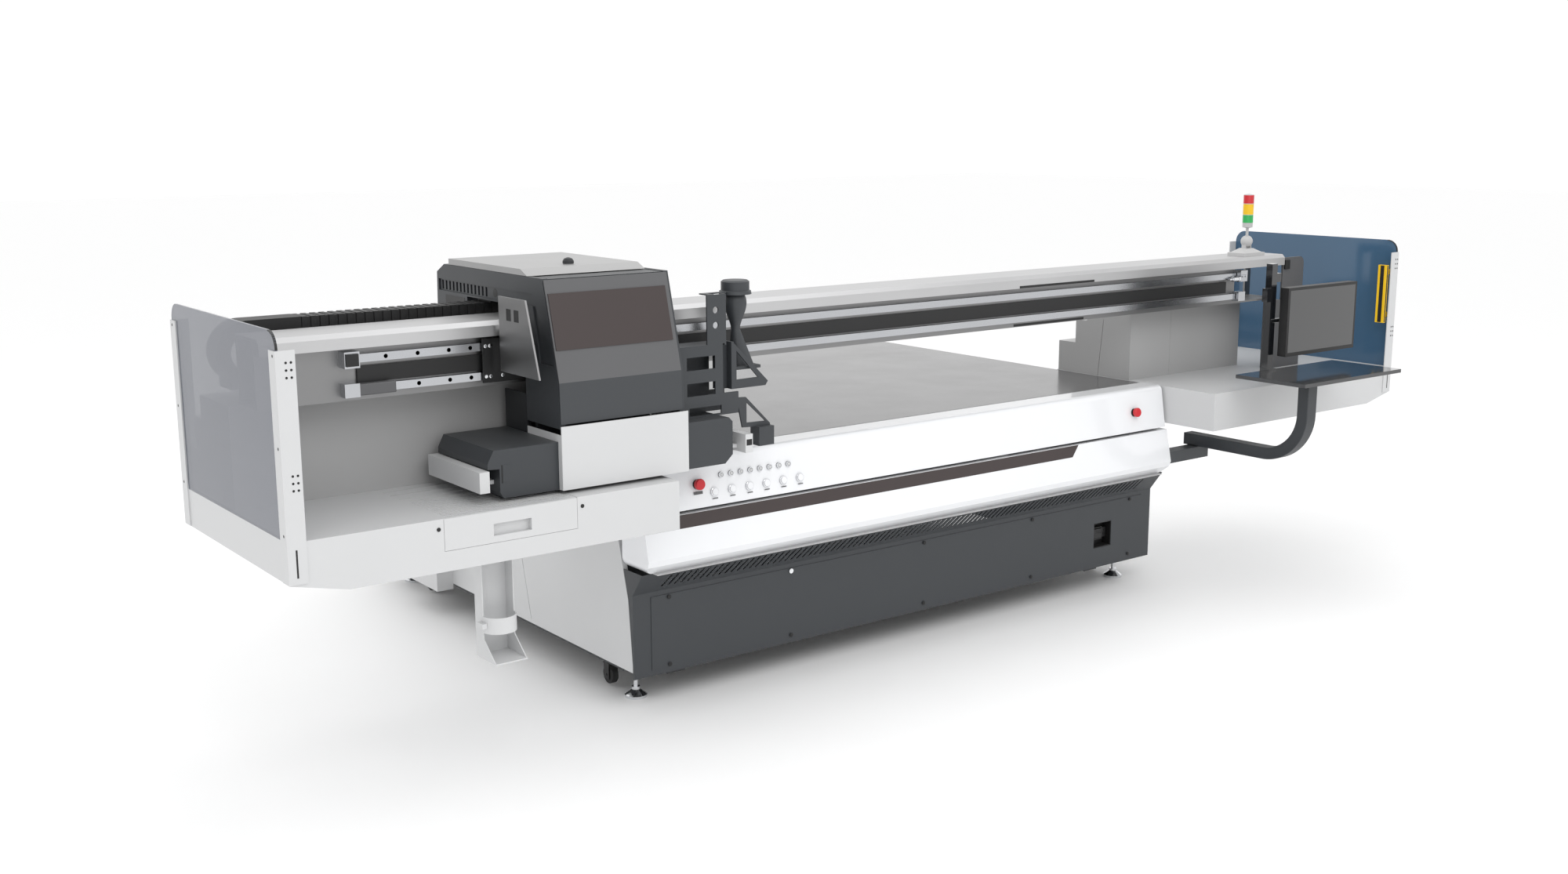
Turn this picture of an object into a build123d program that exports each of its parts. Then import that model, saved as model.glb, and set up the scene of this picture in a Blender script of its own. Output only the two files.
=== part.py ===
from build123d import *
import math
import os

os.makedirs("parts", exist_ok=True)

# Flatbed UV printer, millimetres.  X runs along the beam, -Y is the operator's side, Z is up.
# The origin is on the floor, under the middle of the whole machine's footprint.

# ---------------------------------------------------------------- driving dimensions
base_width = 2600.0
base_depth = 2050.0
bed_height = 850.0
bed_thickness = 35.0
bed_setback = 87.0          # front edge of the bed behind the lower front panel
base_underside = 108.0
tray_reach = 680.0          # the operator's tray stands this far ahead of the front panel

wing_gap = 10.0             # between a wing and the base's side
wing_reach = 1255.0         # outer end of a wing beyond the base's side
wing_lead = 306.0           # a wing's front ahead of the front panel
wing_depth = 874.0
wing_height = 155.0
wall_setback = 150.0        # the wall on a wing, behind the front panel
sheet = 3.0

beam_bottom = 1157.0
beam_top = 1360.0
beam_lead = 20.0            # beam's upper lip ahead of the front panel
beam_back = 170.0
recess_depth = 45.0
upper_rail_z = 1280.0
lower_rail_z = 1190.0

carriage_width = 445.0
carriage_centre = -162.5    # carriage's parked middle, from the base's left side
side_plate = 18.0

front = -(base_depth - tray_reach) / 2
back = front + base_depth
half = base_width / 2
clearance = 1.0
running = 0.05              # radial play of a shaft in its bore


def block(x, y, z, mode=Mode.ADD):
    """A rectangular block between the low and high values of x, y and z, in the open part."""
    middle = ((x[0] + x[1]) / 2, (y[0] + y[1]) / 2, (z[0] + z[1]) / 2)
    with Locations(middle):
        Box(x[1] - x[0], y[1] - y[0], z[1] - z[0], mode=mode)


def side_face(points):
    """A face from (distance behind the front panel, height) points, seen along X."""
    with BuildSketch() as outline:
        with BuildLine():
            Polyline([(front + y, z) for y, z in points], close=True)
        make_face()
    return outline.sketch


def along_x(face, x, mode=Mode.ADD):
    """Extrude a side face from x[0] to x[1] in the open part."""
    placed = Plane.YZ.offset(x[0]) * face
    extrude(placed, amount=x[1] - x[0], mode=mode)


def front_face(points):
    """A face from (x, height) points, seen along Y."""
    with BuildSketch() as outline:
        with BuildLine():
            Polyline(points, close=True)
        make_face()
    return outline.sketch


def along_y(face, y, mode=Mode.ADD):
    """Extrude a front face from y[0] to y[1] in the open part."""
    placed = Plane.XZ.offset(-y[1]) * face
    extrude(placed, amount=y[1] - y[0], mode=mode)


def upright_cylinder(x, y, z, radius, mode=Mode.ADD):
    """A vertical cylinder from z[0] to z[1] in the open part."""
    with Locations((x, y, (z[0] + z[1]) / 2)):
        Cylinder(radius, z[1] - z[0], mode=mode)


def cross_cylinder(x, y, z, radius, mode=Mode.ADD):
    """A cylinder along X from x[0] to x[1] in the open part."""
    with Locations(Location(((x[0] + x[1]) / 2, y, z), (0, 90, 0))):
        Cylinder(radius, x[1] - x[0], mode=mode)


def save(piece, name):
    piece.part.label = name
    export_step(piece.part, f"parts/{name}.step")


# ---------------------------------------------------------------- base: welded frame and bed
tube = 60.0
frame_inset = 22.0
frame_top = bed_height - bed_thickness
split_z = bed_height - 173  # joint between the two front covers
lower_top = split_z - 5
lip_bottom = lower_top - 185
vent_high = lip_bottom - 3
vent_low = vent_high - 82
frame_x = half - frame_inset
frame_y = (front + frame_inset, back - frame_inset)
rail_slot = (bed_height - 145, bed_height - 45)  # open strip along each side where the gantry's shoes run

with BuildPart() as base_frame:
    for sx in (-1, 1):
        outer = sorted((sx * frame_x, sx * (frame_x - tube)))
        for z in (base_underside, frame_top - 190, frame_top - tube):
            block(outer, (frame_y[0] + bed_setback, frame_y[1]), (z, z + tube))
        for y in (frame_y[0] + bed_setback, front + base_depth / 2, frame_y[1] - tube):
            block(outer, (y, y + tube), (base_underside, frame_top))
    for y in (frame_y[0] + bed_setback, front + base_depth / 2, frame_y[1] - tube):
        for z in (base_underside, frame_top - tube):
            block((-frame_x, frame_x), (y, y + tube), (z, z + tube))
    for x in (-550, 0, 550):
        block((x - 3, x + 3), (front - 60, frame_y[0] + bed_setback), (lip_bottom + 4, lower_top - 4))
        block((x - 3, x + 3), (front + 60, frame_y[0] + bed_setback), (split_z - 27, bed_height - 50))
        block((x - 3, x + 3), (front - 22, front + 60), (lower_top, bed_height - 12))
save(base_frame, "base_frame")

with BuildPart() as bed_table:
    block((-half, half), (front + bed_setback, back - 50), (bed_height - bed_thickness, bed_height))
    chamfer(bed_table.faces().sort_by(Axis.Z)[-1].edges(), 2)
save(bed_table, "bed_table")

rail_width = 14.0
rail_height = 28.0
rail_z = sum(rail_slot) / 2
with BuildPart() as gantry_rails:
    for sx in (-1, 1):
        rail_x = sorted((sx * frame_x, sx * (frame_x + rail_width)))
        block(rail_x, (front + 110, back - 25), (rail_z - rail_height / 2, rail_z + rail_height / 2))
save(gantry_rails, "gantry_rails")

# ---------------------------------------------------------------- base: front panel with vents
vent_lead = 61.0
end_cap = 3.0
inlet_x = (half - 349, half - 244)
inlet_z = (193.0, 300.0)
inlet_deep = 45.0
panel_outline = [
    (0, base_underside), (sheet, base_underside), (sheet, vent_low + 1),
    (sheet + 1 - vent_lead, vent_high), (-vent_lead, vent_high), (0, vent_low),
]
cap_outline = [
    (0, base_underside), (0, vent_low), (-vent_lead, vent_high), (54, vent_high),
    (28, vent_low - 19), (8, 156), (8, base_underside),
]
vent_count = 92
vent_pitch = 26.0
with BuildPart() as front_panel:
    along_x(side_face(panel_outline), (-half, half))
    for sx in (-1, 1):
        along_x(side_face(cap_outline), sorted((sx * half, sx * (half - end_cap))))
    with BuildSketch(Plane.XZ.offset(-front + 10)):
        with Locations((0, (vent_low + vent_high) / 2)):
            with GridLocations(vent_pitch, 1, vent_count, 1):
                SlotOverall(52, 8, rotation=62)
    extrude(amount=120, mode=Mode.SUBTRACT)
    block(inlet_x, (front - 1, front + sheet + 1), inlet_z, mode=Mode.SUBTRACT)
save(front_panel, "front_panel")

panel_x = (-half + 70, half - 60)
panel_z = (128.0, vent_low - 17)
screw_x = [-half + 141, -half + 660, -2.0, half - 718, half - 134]
screw_z = [panel_z[0] + 9, panel_z[1] - 10]
access_front = front - 2.0
screw_radius = 5.0
with BuildPart() as access_panel:
    block(panel_x, (access_front, front), panel_z)
    block(inlet_x, (access_front - 1, front + 1), inlet_z, mode=Mode.SUBTRACT)
    for x in screw_x:
        for z in screw_z:
            with Locations(Location((x, access_front - 1.5, z), (90, 0, 0))):
                Cylinder(screw_radius, 3)
                with Locations((0, 0, 1.5)):
                    Box(7, 1.2, 1.6, mode=Mode.SUBTRACT)
save(access_panel, "access_panel")

# recessed mains inlet: box, three-pin socket and the rocker's bezel
rocker_x = (inlet_x[0] + 16, inlet_x[0] + 66)
rocker_z = (inlet_z[0] + 33, inlet_z[0] + 78)
rocker_pivot_y = front + 30.0
rocker_mid_z = (rocker_z[0] + rocker_z[1]) / 2
pin_radius = 2.0
with BuildPart() as power_inlet:
    block(inlet_x, (front, front + inlet_deep), inlet_z)
    block((inlet_x[0] + 3, inlet_x[1] - 3), (front - 1, front + inlet_deep - 3),
          (inlet_z[0] + 3, inlet_z[1] - 3), mode=Mode.SUBTRACT)
    block((rocker_x[0] - 4, rocker_x[1] + 4), (front + 18, front + inlet_deep - 3),
          (rocker_z[0] - 4, rocker_z[1] + 4))
    block((rocker_x[0] - 0.4, rocker_x[1] + 0.4), (front + 17, front + inlet_deep - 6),
          (rocker_z[0] - 0.4, rocker_z[1] + 0.4), mode=Mode.SUBTRACT)
    block((rocker_x[1] + 8, inlet_x[1] - 7), (front + 22, front + inlet_deep - 3),
          (rocker_z[0] + 2, rocker_z[1] - 2))
    cross_cylinder((rocker_x[0] - 3, rocker_x[1] + 3), rocker_pivot_y, rocker_mid_z, pin_radius + running,
                   mode=Mode.SUBTRACT)
    for dx, dz in ((0, 10), (-4.5, -8), (4.5, -8)):
        pin_x = (rocker_x[1] + 8 + inlet_x[1] - 7) / 2 + dx
        pin_z = (rocker_z[0] + rocker_z[1]) / 2 + dz
        block((pin_x - 1.2, pin_x + 1.2), (front + 21, front + 34), (pin_z - 3.5, pin_z + 3.5),
              mode=Mode.SUBTRACT)
save(power_inlet, "power_inlet")

with BuildPart() as power_rocker:
    along_x(side_face([(14, rocker_z[0] + 2.5), (18, rocker_mid_z), (14, rocker_z[1] - 2.5),
                       (32, rocker_z[1] - 2.5), (34, rocker_mid_z), (32, rocker_z[0] + 2.5)]),
            (rocker_x[0] + 0.6, rocker_x[1] - 0.6))
    cross_cylinder((rocker_x[0] - 2.5, rocker_x[1] + 2.5), rocker_pivot_y, rocker_mid_z, pin_radius)
save(power_rocker, "power_rocker")

# ---------------------------------------------------------------- base: glossy front covers
cover_top = bed_height + 3
cover_lip = 36.0
cover_foot = 65.0
cover_skin = 4.0
lean = math.atan((cover_foot - cover_lip) / (cover_top - split_z - 4))
out_y = -math.cos(lean)
out_z = math.sin(lean)


def cover_point(x, z, proud=0.0):
    """A point on the leaning front face of the control cover, or proud of it."""
    y = front - cover_lip - (cover_top - z) * math.tan(lean)
    return (x, y + out_y * proud, z + out_z * proud)


def cover_plane(x, z, proud=0.0):
    """A plane on the leaning face whose normal points to the operator."""
    return Plane(origin=cover_point(x, z, proud), x_dir=(1, 0, 0), z_dir=(0, out_y, out_z))


estop_x = [-half + 228, half - 186]
estop_z = bed_height - 90
button_x = [-half + 294 + 72.4 * i for i in range(6)]
button_z = bed_height - 123
lamp_x = [-half + 326 + 40.7 * i for i in range(8)]
lamp_z = bed_height - 70
button_radius = 12.0
lamp_radius = 9.0
estop_stem = 11.0
hole_play = 0.3
with BuildPart() as control_cover:
    with BuildSketch(Plane.YZ.offset(-half)) as skin:
        with BuildLine():
            Polyline(
                (front + bed_setback - 1, split_z + 4), (front + bed_setback - 1, bed_height),
                (front + 50, bed_height + 7), (front - cover_lip, cover_top),
                (front - cover_foot, split_z + 4), close=True)
        make_face()
        fillet(skin.vertices().group_by(Axis.X)[1], 25)
    extrude(amount=base_width)
    inner = [
        (bed_setback + 5, split_z), (bed_setback + 5, bed_height - 6), (50, bed_height + 2),
        (14 - cover_lip, cover_top - 4), (cover_skin - cover_lip - 3, cover_top - 28),
        (cover_skin - cover_foot, split_z),
    ]
    along_x(side_face(inner), (cover_skin - half, half - cover_skin), mode=Mode.SUBTRACT)
    holes = [(x, button_z, button_radius - 3 + hole_play) for x in button_x]
    holes += [(x, lamp_z, lamp_radius - 3) for x in lamp_x]
    holes += [(x, estop_z, estop_stem + hole_play) for x in estop_x]
    for x, z, radius in holes:
        with BuildSketch(cover_plane(x, z, 5)):
            Circle(radius)
        extrude(amount=-16, mode=Mode.SUBTRACT)
save(control_cover, "control_cover")

lower_lead = 104.0
corner_round = 40.0
with BuildPart() as lower_cover:
    along_x(side_face([(60, lower_top), (-74, lower_top), (-lower_lead, lower_top - 134), (8 - lower_lead, lower_top - 155),
                       (-66, lip_bottom), (60, lip_bottom)]), (-half, half))
    with BuildSketch(Plane.XZ.offset(-front - 100)) as rounded:
        with Locations((0, (lower_top + lip_bottom) / 2)):
            Rectangle(base_width, lower_top - lip_bottom)
        fillet(rounded.vertices().group_by(Axis.Y)[0], corner_round)
    extrude(amount=240, both=True, mode=Mode.INTERSECT)
    along_x(side_face([(61, lower_top - 4), (4 - 74, lower_top - 4), (4.5 - lower_lead, lower_top - 134),
                       (13 - lower_lead, lower_top - 153), (-62, lip_bottom + 4), (61, lip_bottom + 4)]),
            (corner_round - half, half - corner_round), mode=Mode.SUBTRACT)
save(lower_cover, "lower_cover")

# ---------------------------------------------------------------- base: buttons, lamps, stops
with BuildPart() as panel_fittings:
    for x in estop_x:
        with BuildSketch(cover_plane(x, estop_z)):
            Circle(17)
            Circle(estop_stem + hole_play, mode=Mode.SUBTRACT)
        extrude(amount=6)
    for x in lamp_x:
        with BuildSketch(cover_plane(x, lamp_z)):
            Circle(lamp_radius)
        extrude(amount=5)
        with BuildSketch(cover_plane(x, lamp_z)):
            Circle(lamp_radius - 3.3)
        extrude(amount=-12)
save(panel_fittings, "panel_fittings")

button_names = ["vacuum_button", "head_up_button", "head_down_button", "light_button",
                "reset_button", "start_button"]
for name, x in zip(button_names, button_x):
    with BuildPart() as push_button:
        with BuildSketch(cover_plane(x, button_z, 3.5)):
            Circle(button_radius)
        extrude(amount=6)
        fillet(push_button.faces().sort_by(Axis((0, 0, 0), (0, out_y, out_z)))[-1].edges(), 1.5)
        with BuildSketch(cover_plane(x, button_z, 3.5)):
            Circle(button_radius - 3)
        extrude(amount=-16)
    save(push_button, name)

for name, x in zip(("estop_left", "estop_right"), estop_x):
    with BuildPart() as mushroom:
        with BuildSketch(cover_plane(x, estop_z, 12)):
            Circle(19)
        extrude(amount=14)
        fillet(mushroom.faces().sort_by(Axis((0, 0, 0), (0, out_y, out_z)))[-1].edges(), 5)
        with BuildSketch(cover_plane(x, estop_z, 12)):
            Circle(estop_stem)
        extrude(amount=-30)
    save(mushroom, name)

# ---------------------------------------------------------------- base: sides, rear, cabinets
side_skin = 18.0
cabinet_y = (front + 1366, front + 1630)
cabinet_out = 70.0
side_top = bed_height - 160
side_outline = [
    (112, side_top), (82, side_top - 115), (30, vent_low - 19), (9, 156), (9, 130), (base_depth - 6, 130),
    (base_depth - 6, side_top),
]
with BuildPart() as body_panels:
    for sx in (-1, 1):
        along_x(side_face(side_outline), sorted((sx * half, sx * (half - side_skin))))
    seam = [(770, vent_low - 37), (713, 144), (716, 144), (773, vent_low - 37)]
    for sx in (-1, 1):
        along_x(side_face(seam), sorted((sx * (half + 1), sx * (half - 2))), mode=Mode.SUBTRACT)
    block((-half + side_skin + 1, half - side_skin - 1), (back - 5, back), (base_underside, frame_top))
    for x in (-700, 0, 700):
        with BuildSketch(Plane.XZ.offset(-back - 1)):
            with Locations((x, 560)):
                with GridLocations(16, 1, 18, 1):
                    SlotOverall(90, 7, rotation=90)
        extrude(amount=8, mode=Mode.SUBTRACT)
    for sx in (-1, 1):
        block(sorted((sx * half, sx * (half + cabinet_out))), cabinet_y, (base_underside, side_top - 10))
        block(sorted((sx * (half - 1), sx * (half + cabinet_out - 4))),
              (cabinet_y[0] + 4, cabinet_y[1] - 4), (base_underside + 4, side_top - 14), mode=Mode.SUBTRACT)
save(body_panels, "body_panels")

# ---------------------------------------------------------------- base: feet and casters
foot_x = half - 80
foot_y = [front + 122, front + 1928]
caster_x = half - 65
caster_y = [front + 262, front + 1704]
with BuildPart() as levelling_feet:
    for x in (-foot_x, foot_x):
        for y in foot_y:
            with BuildSketch(Plane.XZ.offset(-y)):
                with BuildLine():
                    Polyline((x, 0), (x + 39, 0), (x + 39, 9), (x + 34, 13), (x + 15, 27), (x + 15, 37),
                             (x + 8, 37), (x + 8, base_underside), (x, base_underside), close=True)
                make_face()
            revolve(axis=Axis((x, y, 0), (0, 0, 1)))
            with BuildSketch(Plane.XY.offset(base_underside - 22)):
                with Locations((x, y)):
                    RegularPolygon(14, 6)
            extrude(amount=11)
save(levelling_feet, "levelling_feet")

wheel_radius = 33.0
wheel_width = 26.0
wheel_z = wheel_radius + 12
axle_radius = 5.0
with BuildPart() as caster_forks:
    for x in (-caster_x, caster_x):
        for y in caster_y:
            block((x - 32, x + 32), (y - 38, y + 38), (base_underside - 5, base_underside))
            upright_cylinder(x, y, (base_underside - 19, base_underside - 5), 20)
            block((x - 19, x + 19), (y - 20, y + 20), (base_underside - 23, base_underside - 19))
            for sx in (-1, 1):
                block(sorted((x + sx * 19, x + sx * 15.5)), (y - 16, y + 16),
                      (wheel_z - 14, base_underside - 19))
            cross_cylinder((x - 21, x + 21), y, wheel_z, axle_radius)
save(caster_forks, "caster_forks")

wheel_names = ["wheel_rear_left", "wheel_front_left", "wheel_rear_right", "wheel_front_right"]
wheel_places = [(x, y) for x in (-caster_x, caster_x) for y in reversed(caster_y)]
for name, (x, y) in zip(wheel_names, wheel_places):
    with BuildPart() as wheel:
        cross_cylinder((x - wheel_width / 2, x + wheel_width / 2), y, wheel_z, wheel_radius)
        fillet(wheel.edges().filter_by(GeomType.CIRCLE), 4)
        cross_cylinder((x - 30, x + 30), y, wheel_z, axle_radius + running, mode=Mode.SUBTRACT)
    save(wheel, name)

# ---------------------------------------------------------------- operator's arm, tray, monitor
bar_top = bed_height - 275
bar_end = half + 258
arm_x = (bar_end - 66, bar_end - 6)
arm_z = bar_top + 25
arm_bend = 180.0
arm_post = 595.0            # the post's centre ahead of the front panel
arm_top = 905.0
arm_half = 25.0


def arm_band(width):
    """Side view of the bent tube: a level run, a quarter bend and a post."""
    reach = arm_post - arm_bend
    with BuildSketch() as band:
        with Locations((front - (reach + 10) / 2, arm_z)):
            Rectangle(reach - 10, width)
        with Locations((front - arm_post, (arm_z + arm_bend + arm_top) / 2)):
            Rectangle(width, arm_top - arm_z - arm_bend)
        with BuildSketch():
            with Locations((front - reach, arm_z + arm_bend)):
                Circle(arm_bend + width / 2)
                Circle(arm_bend - width / 2, mode=Mode.SUBTRACT)
            with Locations((front - reach - 250, arm_z + arm_bend - 250)):
                Rectangle(500, 500, mode=Mode.INTERSECT)
    return band.sketch


with BuildPart() as monitor_arm:
    along_x(arm_band(2 * arm_half), arm_x)
    fillet(monitor_arm.edges().filter_by(Axis.Z), 4)
    block((half, bar_end), (front - 92, front - 32), (bar_top - 50, bar_top))
    block((half - 1, bar_end - 4), (front - 88, front - 36), (bar_top - 46, bar_top - 4), mode=Mode.SUBTRACT)
save(monitor_arm, "monitor_arm")

tray_x = (half + 80, half + 740)
tray_y = (front - tray_reach, front - tray_reach + 330)
tray_z = (arm_top + 10, arm_top + 25)
arm_mid = sum(arm_x) / 2
mast = 34.0
mast_x = (half + 264, half + 264 + mast)
mast_y = (tray_y[1] - 16, tray_y[1] + 14)
tilt_y = front - 360.0
tilt_z = 1135.0
rod_radius = 10.0
rod_end = half + 600
with BuildPart() as monitor_tray:
    block(tray_x, tray_y, tray_z)
    upright_cylinder(arm_mid, front - arm_post, (arm_top + 0.3, tray_z[0]), 34)
    block((mast_x[0], mast_x[1]), mast_y, (tray_z[1], 1370))
    block((mast_x[0] - 8, mast_x[1] + 8), (tray_y[1] - 30, mast_y[1]), (tray_z[0], tray_z[1] + 8))
    block((mast_x[0] - 22, mast_x[0]), (mast_y[0] + 2, mast_y[1] - 2), (1215, 1270))
    block((mast_x[1], mast_x[1] + 30), (mast_y[0] + 2, mast_y[1] - 2), (1294, 1330))
    cross_cylinder((mast_x[0] + 5, rod_end), tilt_y, tilt_z, rod_radius)
save(monitor_tray, "monitor_tray")

screen_x = (half + 300, half + 776)
screen_y = (front - 425, front - 385)
screen_z = (990.0, 1274.0)
with BuildPart() as monitor:
    block(screen_x, screen_y, screen_z)
    fillet(monitor.edges().filter_by(Axis.Y), 4)
    for x in (rod_end - 150, rod_end - 30):
        block((x, x + 24), (screen_y[1], tilt_y + 16), (tilt_z - 16, tilt_z + 16))
    cross_cylinder((rod_end - 170, rod_end + 10), tilt_y, tilt_z, rod_radius + running, mode=Mode.SUBTRACT)
save(monitor, "monitor")

# ---------------------------------------------------------------- gantry: beam and its rails
beam_x = (-half - wing_reach + 55, half + 827)
web = recess_depth - beam_lead
window_x = (half + 535, half + 790)
lip_z = 1313.0
with BuildPart() as beam:
    along_x(side_face([(-beam_lead, lip_z), (-beam_lead, beam_top - 14), (14 - beam_lead, beam_top),
                       (beam_back, beam_top), (beam_back, beam_bottom), (web, beam_bottom), (web, lip_z)]),
            beam_x)
    along_x(side_face([(web + 10, beam_bottom + 10), (web + 10, beam_top - 12), (beam_back - 10, beam_top - 12),
                       (beam_back - 10, beam_bottom + 10)]), (beam_x[0] - 1, beam_x[1] + 1), mode=Mode.SUBTRACT)
    block(window_x, (front - 1, front + beam_back + 1), (beam_bottom + 8, lip_z - 3), mode=Mode.SUBTRACT)
save(beam, "beam")

track_x = (-half - 905, half + 518)
rail_depth = 20.0
rail_tall = 24.0
with BuildPart() as beam_rails:
    for z in (upper_rail_z, lower_rail_z):
        block(track_x, (front + web - rail_depth, front + web), (z - rail_tall / 2, z + rail_tall / 2))
        block((track_x[0] - 1, track_x[1] + 1), (front + web - 14, front + web - 8),
              (z + rail_tall / 2 - 4, z + rail_tall / 2 + 1), mode=Mode.SUBTRACT)
save(beam_rails, "beam_rails")

strip_z = (1207.0, 1256.0)
strip_depth = 8.0
with BuildPart() as motor_strip:
    block((track_x[0], track_x[1] - 50), (front + web - strip_depth, front + web), strip_z)
save(motor_strip, "motor_strip")

with BuildPart() as rail_stops:
    for x in (track_x[0] - 50, track_x[1] + 4):
        block((x, x + 46), (front - 18, front + web), (upper_rail_z - 24, upper_rail_z + 24))
        block((x, x + 46), (front - 10, front + web), (lower_rail_z - 20, lower_rail_z + 20))
        for dx in (14, 32):
            with Locations(Location((x + dx, front - 20, upper_rail_z), (90, 0, 0))):
                Cylinder(6, 6)
save(rail_stops, "rail_stops")

# ---------------------------------------------------------------- gantry: wings, housings, posts
wing_bottom = bed_height - wing_height
wing_out = half + wing_reach
wing_in = half + wing_gap
wing_front = front - wing_lead
wing_back = wing_front + wing_depth
skew = (164.0, 37.0)
drawer_x = (-half - 805, -half - 375)
drawer_z = (bed_height - 95, bed_height - 2)


def wing_shell(sx):
    """A folded tray: level top, front and rear walls, and a cut-off outer bottom corner."""
    along_y(front_face([(sx * wing_in, wing_bottom), (sx * (wing_out - skew[0]), wing_bottom),
                        (sx * wing_out, wing_bottom + skew[1]), (sx * wing_out, bed_height),
                        (sx * wing_in, bed_height)]), (wing_front, wing_back))
    along_y(front_face([(sx * (wing_in + sheet), wing_bottom + sheet),
                        (sx * (wing_out - skew[0]), wing_bottom + sheet),
                        (sx * (wing_out - sheet), wing_bottom + skew[1] + sheet / 2),
                        (sx * (wing_out - sheet), bed_height - sheet),
                        (sx * (wing_in + sheet), bed_height - sheet)]),
            (wing_front + sheet, wing_back - sheet), mode=Mode.SUBTRACT)


with BuildPart() as wings:
    wing_shell(-1)
    block((drawer_x[0] - clearance, drawer_x[1] + clearance), (wing_front - 1, wing_front + sheet + 1),
          (drawer_z[0] - clearance, bed_height + 1), mode=Mode.SUBTRACT)
    block((drawer_x[0] - clearance, drawer_x[1] + clearance), (wing_front - 1, front - 4),
          (bed_height - sheet - 1, bed_height + 1), mode=Mode.SUBTRACT)
    for y in (51, 105):
        block((-half - 808, -half - 60), (front + y, front + y + 7), (bed_height - 5, bed_height + 1),
              mode=Mode.SUBTRACT)
    wing_shell(1)
save(wings, "wings")

# Stepped housings stand on the wings behind the carriage's path, up to the beam.
housing_outline = [
    (wall_setback, bed_height), (wall_setback, beam_bottom), (400, beam_bottom), (400, 1085),
    (463, 1085), (463, 982), (560, 982), (560, bed_height),
]
housing_inner = [
    (wall_setback + sheet, bed_height - 1), (wall_setback + sheet, beam_bottom - sheet),
    (400 - sheet, beam_bottom - sheet), (400 - sheet, 1085 - sheet), (463 - sheet, 1085 - sheet),
    (463 - sheet, 982 - sheet), (560 - sheet, 982 - sheet), (560 - sheet, bed_height - 1),
]
upright_width = 260.0
housing_spans = [(-wing_out + 15, -wing_in - upright_width - 2), (wing_in + upright_width + 1, half + 749)]
with BuildPart() as uprights:
    for span in housing_spans:
        along_x(side_face(housing_outline), span)
        along_x(side_face(housing_inner), (span[0] + sheet, span[1] - sheet), mode=Mode.SUBTRACT)
    for sx in (-1, 1):
        span = sorted((sx * wing_in, sx * (wing_in + upright_width)))
        along_x(side_face(housing_outline), span)
        along_x(side_face(housing_inner), (span[0] + 12, span[1] - 12), mode=Mode.SUBTRACT)
        along_x(side_face([(326, bed_height + 2), (302, 1098), (305, 1098), (329, bed_height + 2)]),
                sorted((sx * (wing_in - 1), sx * (wing_in + 2))), mode=Mode.SUBTRACT)
save(uprights, "uprights")

shoe_length = 120.0
shoe_play = 0.3
with BuildPart() as gantry_shoes:
    for sx in (-1, 1):
        for y in (wall_setback - 20, wall_setback + 270):
            span_y = (front + y, front + y + shoe_length)
            block(sorted((sx * (frame_x + 3), sx * wing_in)), span_y, (rail_z - 32, rail_z + 32))
            block(sorted((sx * (frame_x + 2), sx * (frame_x + rail_width + shoe_play))),
                  (span_y[0] - 1, span_y[1] + 1),
                  (rail_z - rail_height / 2 - shoe_play, rail_z + rail_height / 2 + shoe_play),
                  mode=Mode.SUBTRACT)
save(gantry_shoes, "gantry_shoes")

end_bar_x = (half + 749, half + 827)
with BuildPart() as end_plates:
    block(end_bar_x, (front - 12, front + web), (bed_height, beam_bottom))
    block((end_bar_x[1], half + 980), (front - 12, front - 4), (bed_height, beam_top - 16))
    fillet(end_plates.edges().filter_by(Axis.Y).sort_by(Axis.X)[-2:].sort_by(Axis.Z)[-1:], 30)
save(end_plates, "end_plates")

post_wide = 50.0
post_deep = 43.0
post_skin = 4.0
post_z = (bed_height - 116, 1366.0)
guard_skin = 6.0
guard_top = 1418.0
with BuildPart() as corner_posts:
    for sx in (-1, 1):
        for y, sy in ((wing_front, -1), (wing_back, 1)):
            block(sorted((sx * (wing_out + post_skin), sx * (wing_out - post_wide))),
                  sorted((y, y + sy * post_skin)), post_z)
            block(sorted((sx * wing_out, sx * (wing_out + post_skin))),
                  sorted((y + sy * post_skin, y - sy * post_deep)), post_z)
save(corner_posts, "corner_posts")

with BuildPart() as side_guards:
    for sx in (-1, 1):
        with BuildSketch(Plane.YZ.offset(min(sx * wing_out, sx * (wing_out - guard_skin)))) as guard:
            with Locations(((wing_front + wing_back) / 2, (bed_height + guard_top) / 2)):
                Rectangle(wing_depth, guard_top - bed_height)
            fillet(guard.vertices().group_by(Axis.Y)[-1], 50)
        extrude(amount=guard_skin)
save(side_guards, "side_guards")

curtain_x = wing_out - post_wide - 6
with BuildPart() as light_curtain:
    block((curtain_x - 16, curtain_x), (wing_front + 4, wing_front + 46), (1052, 1310))
    block((curtain_x, wing_out - guard_skin), (wing_front + 16, wing_front + 34), (1075, 1095))
    block((curtain_x, wing_out - guard_skin), (wing_front + 16, wing_front + 34), (1267, 1287))
save(light_curtain, "light_curtain")

# ---------------------------------------------------------------- gantry: drawer, bottle holder
drawer_back = front - 8
rib_pitch = 17.0
with BuildPart() as purge_drawer:
    block(drawer_x, (wing_front, wing_front + sheet), drawer_z)
    block((drawer_x[0] + 4, drawer_x[1] - 4), (wing_front + sheet, drawer_back), (drawer_z[0] + 4, bed_height - 7))
    block((drawer_x[0] + 6, drawer_x[1] - 6), (wing_front + 22, drawer_back - 2), (drawer_z[0] + 6, bed_height - 6),
          mode=Mode.SUBTRACT)
    handle = (drawer_x[0] + 154, drawer_x[0] + 277)
    block(handle, (wing_front - 1, wing_front + 18), (drawer_z[0] + 20, drawer_z[0] + 56), mode=Mode.SUBTRACT)
save(purge_drawer, "purge_drawer")

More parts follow.
